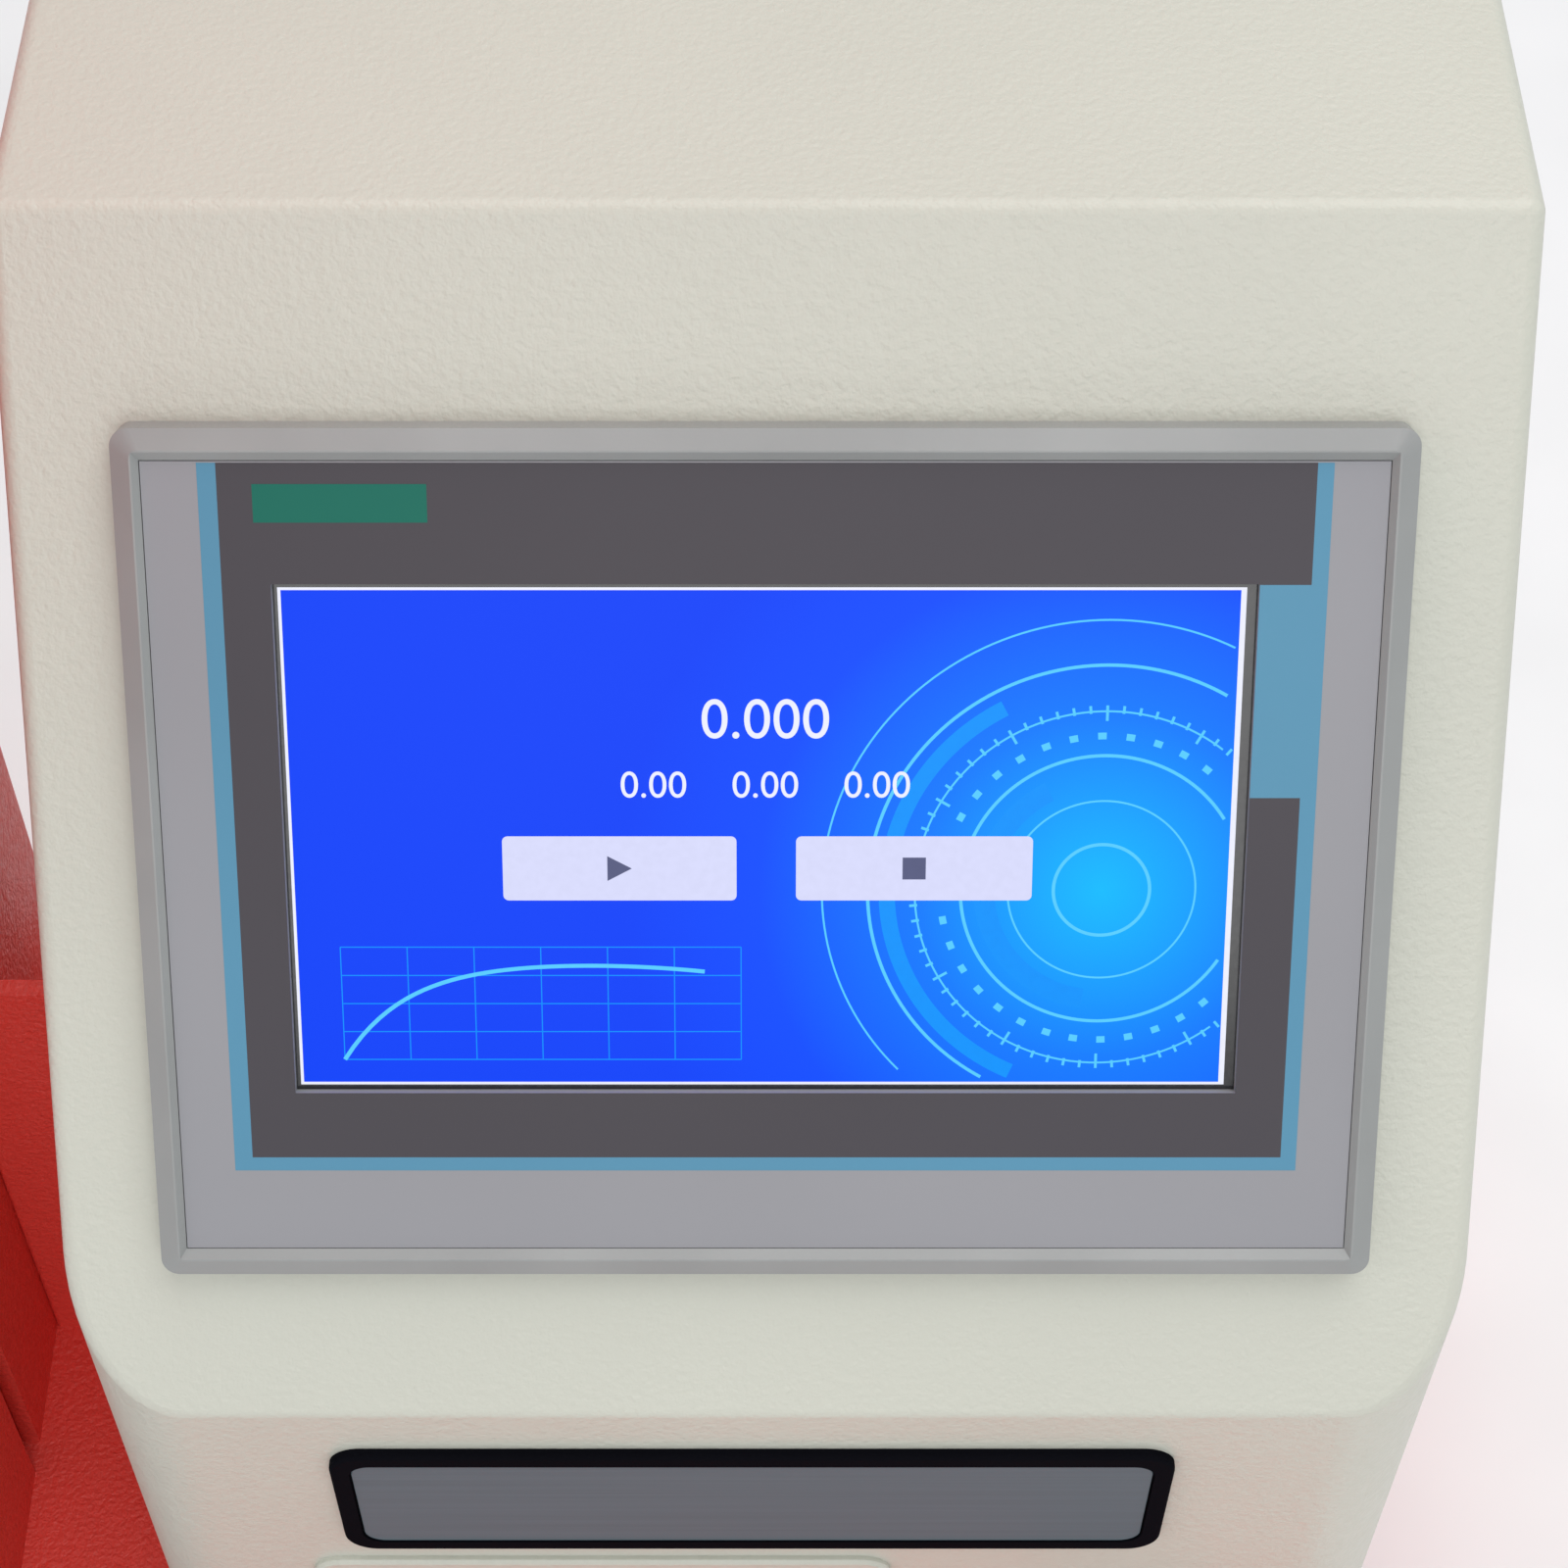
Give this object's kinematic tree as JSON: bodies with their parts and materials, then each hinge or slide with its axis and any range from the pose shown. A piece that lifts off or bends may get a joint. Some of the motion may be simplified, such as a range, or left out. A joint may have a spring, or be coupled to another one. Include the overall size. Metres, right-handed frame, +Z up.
{
  "type": "universal testing machine",
  "caption": "Desktop tensile tester: red base and column, screw-driven crosshead with load cell and vice grips, cream console with a leaning touch panel.",
  "frame": {"origin": "on the floor, under the middle of the base", "axes": "+X to the right of someone facing the console, +Y back, +Z up"},
  "size_m": [0.49, 0.37, 1.022],
  "materials": {
    "red_powder_coat": "fine textured powder coat",
    "red_column_coat": "fine textured powder coat on an extrusion",
    "bottom_zinc": "zinc plated sheet",
    "cream_powder_coat": "fine textured powder coat",
    "cast_arm_coat": "powder coated casting",
    "black_rubber": "matt",
    "anodised_cover": "satin anodised",
    "black_moulding": "fine texture",
    "zinc_screws": "zinc plated",
    "machined_aluminium": "machined",
    "bearing_steel": "ground",
    "ground_steel": "ground",
    "motor_black": "satin",
    "drive_metal": "anodised",
    "circuit_board": "solder mask",
    "cell_metal": "nickel plated",
    "plated_steel": "hard chrome, satin",
    "table_steel": "ground",
    "jaw_steel": "hardened, blackened",
    "knob_moulding": "polished",
    "collar_steel": "turned",
    "bezel_grey": "satin",
    "overlay_film": "fine satin film",
    "display_glass": "glass over a lit display",
    "case_moulding": "plain",
    "chromed_ring": "polished",
    "green_key": "satin",
    "grey_key": "satin",
    "stop_red": "polished",
    "stem_grey": "plain",
    "rocker_black": "polished",
    "socket_metal": "nickel plated"
  },
  "bodies": {
    "root": {"base_bottom_plate": "bottom_zinc", "base_frame": "red_powder_coat", "column_cap": "black_moulding", "column_end_blocks": "machined_aluminium", "column_front_cover": "anodised_cover", "column_profile": "red_column_coat", "console_rear_panel": "cream_powder_coat", "console_shell": "cream_powder_coat", "control_board": "circuit_board", "control_rings": "chromed_ring", "fan_frame": "black_moulding", "foot_screws": "zinc_screws", "guide_rails": "ground_steel", "hmi_bezel": "bezel_grey", "hmi_display": "display_glass", "hmi_overlay": "overlay_film", "hmi_rear_case": "case_moulding", "limit_rod": "ground_steel", "lower_adapter": "plated_steel", "lower_fixed_jaw": "jaw_steel", "lower_grip_body": "plated_steel", "lower_grip_pin": "plated_steel", "mains_inlet": "black_moulding", "name_frame": "black_moulding", "rubber_feet": "black_rubber", "screw_bearings": "bearing_steel", "servo_drive": "drive_metal", "servo_motor": "motor_black", "signal_sockets": "socket_metal", "table_plate": "table_steel", "tie_plate": "red_powder_coat", "timing_belt": "black_rubber"},
    "crosshead": {"crosshead_yoke": "machined_aluminium", "rail_blocks": "bearing_steel", "ball_nut": "bearing_steel", "crosshead_arm": "cast_arm_coat", "load_cell": "cell_metal", "load_cell_bolt": "zinc_screws", "upper_adapter": "plated_steel", "upper_grip_body": "plated_steel", "upper_fixed_jaw": "jaw_steel", "upper_grip_pin": "plated_steel", "trip_finger": "machined_aluminium"},
    "screw": {"ball_screw": "ground_steel"},
    "motor_rotor": {"motor_shaft": "ground_steel"},
    "upper_jaw": {"upper_moving_jaw": "jaw_steel"},
    "upper_clamp": {"upper_clamp_screw": "plated_steel", "upper_knob": "knob_moulding"},
    "lower_jaw": {"lower_moving_jaw": "jaw_steel"},
    "lower_clamp": {"lower_clamp_screw": "plated_steel", "lower_knob": "knob_moulding"},
    "lower_collar": {"lower_stop_collar": "collar_steel"},
    "upper_collar": {"upper_stop_collar": "collar_steel"},
    "up_button": {"up_key": "green_key"},
    "stop_button": {"stop_key": "grey_key"},
    "down_button": {"down_key": "green_key"},
    "stop_stem": {"estop_stem": "stem_grey"},
    "stop_mushroom": {"estop_head": "stop_red"},
    "rocker": {"power_rocker": "rocker_black"},
    "fan": {"fan_rotor": "black_moulding"}
  },
  "joints": [
    {"name": "crosshead_travel", "type": "slide", "parent": "root", "child": "crosshead", "axis": [0, 0, 1], "range_m": [-0.3, 0.16]},
    {"name": "screw_turn", "type": "hinge", "parent": "root", "child": "screw", "pos_m": [-0.125, 0.072, 0.5], "axis": [0, 0, 1], "range_deg": [-5760.01, 10800.01]},
    {"name": "motor_turn", "type": "hinge", "parent": "root", "child": "motor_rotor", "pos_m": [0.04, 0.072, 0.07], "axis": [0, 0, 1], "range_deg": [-8960.01, 16800.01]},
    {"name": "upper_jaw_travel", "type": "slide", "parent": "crosshead", "child": "upper_jaw", "axis": [1, 0, 0], "range_m": [-0.0015, 0.009]},
    {"name": "upper_clamp_turn", "type": "hinge", "parent": "upper_jaw", "child": "upper_clamp", "pos_m": [-0.165, -0.09, 0.527], "axis": [1, 0, 0], "range_deg": [-308.58, 1851.44]},
    {"name": "lower_jaw_travel", "type": "slide", "parent": "root", "child": "lower_jaw", "axis": [1, 0, 0], "range_m": [-0.0015, 0.009]},
    {"name": "lower_clamp_turn", "type": "hinge", "parent": "lower_jaw", "child": "lower_clamp", "pos_m": [-0.165, -0.09, 0.178], "axis": [1, 0, 0], "range_deg": [-308.58, 1851.44]},
    {"name": "lower_collar_slide", "type": "slide", "parent": "root", "child": "lower_collar", "axis": [0, 0, 1], "range_m": [-0.2, 0.28]},
    {"name": "upper_collar_slide", "type": "slide", "parent": "root", "child": "upper_collar", "axis": [0, 0, 1], "range_m": [-0.14, 0.04]},
    {"name": "up_key_press", "type": "slide", "parent": "root", "child": "up_button", "axis": [0, 1, 0], "range_m": [0, 0.002], "stiffness_N_per_m": 300, "springref_m": -0.002},
    {"name": "stop_key_press", "type": "slide", "parent": "root", "child": "stop_button", "axis": [0, 1, 0], "range_m": [0, 0.002], "stiffness_N_per_m": 300, "springref_m": -0.002},
    {"name": "down_key_press", "type": "slide", "parent": "root", "child": "down_button", "axis": [0, 1, 0], "range_m": [0, 0.002], "stiffness_N_per_m": 300, "springref_m": -0.002},
    {"name": "emergency_press", "type": "slide", "parent": "root", "child": "stop_stem", "axis": [0, 1, 0], "range_m": [0, 0.004], "stiffness_N_per_m": 1500, "springref_m": -0.002},
    {"name": "emergency_twist", "type": "hinge", "parent": "stop_stem", "child": "stop_mushroom", "pos_m": [0.179, -0.05, 0.146], "axis": [0, 1, 0], "range_deg": [0, 45], "stiffness_Nm_per_rad": 0.05, "springref_deg": -11.46},
    {"name": "power_rock", "type": "hinge", "parent": "root", "child": "rocker", "pos_m": [0.06, 0.17, 0.13], "axis": [1, 0, 0], "range_deg": [0, 17]},
    {"name": "fan_spin", "type": "hinge", "parent": "root", "child": "fan", "pos_m": [0.177, 0.17, 0.355], "axis": [0, 1, 0], "continuous": true}
  ],
  "couplings": [
    {"joint": "screw_turn", "follows": "crosshead_travel", "rad_per_m": -628.32},
    {"joint": "motor_turn", "follows": "crosshead_travel", "rad_per_m": -977.38},
    {"joint": "upper_clamp_turn", "follows": "upper_jaw_travel", "rad_per_m": 3590.4},
    {"joint": "lower_clamp_turn", "follows": "lower_jaw_travel", "rad_per_m": 3590.4}
  ]
}
